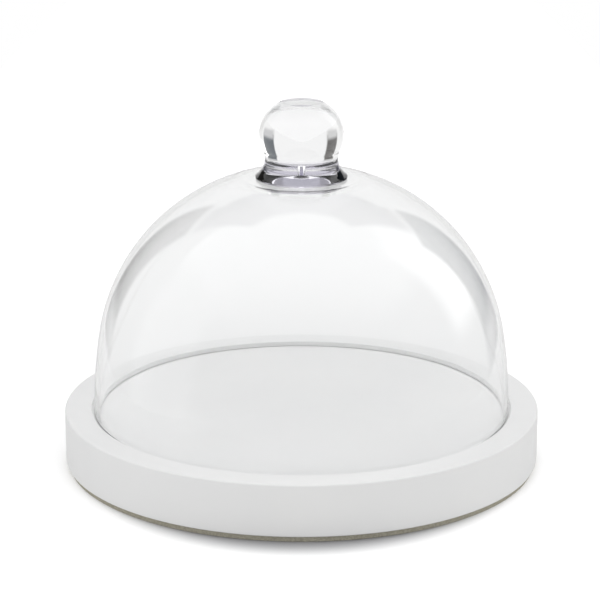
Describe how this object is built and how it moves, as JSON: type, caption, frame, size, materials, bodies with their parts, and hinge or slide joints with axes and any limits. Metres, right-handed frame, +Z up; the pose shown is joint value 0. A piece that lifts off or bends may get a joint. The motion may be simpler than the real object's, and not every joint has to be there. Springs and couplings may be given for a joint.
{
  "type": "domed cake stand",
  "caption": "Thick round serving plate with a shallow recess, covered by a clear bell-shaped dome that lifts off by a flat-topped ball knob.",
  "frame": {"origin": "centre of the pad's underside, where the stand rests on a table", "axes": "+Z up along the axis that every piece is turned about, from the pad towards the knob; X and Y are equal"},
  "size_m": [0.3, 0.3, 0.2308],
  "materials": {
    "pad": "matte",
    "plate": "satin",
    "dome_glass": "polished",
    "knob_glass": "polished",
    "cement": "polished",
    "pin": "polished"
  },
  "bodies": {
    "base": {"base_pad": "pad", "base_plate": "plate"},
    "dome": {"dome_shell": "dome_glass", "knob": "knob_glass", "knob_cement": "cement", "knob_pin": "pin"}
  },
  "joints": [
    {"name": "dome_lift", "type": "slide", "parent": "base", "child": "dome", "axis": [0, 0, 1], "range_m": [0, 0.2]}
  ]
}
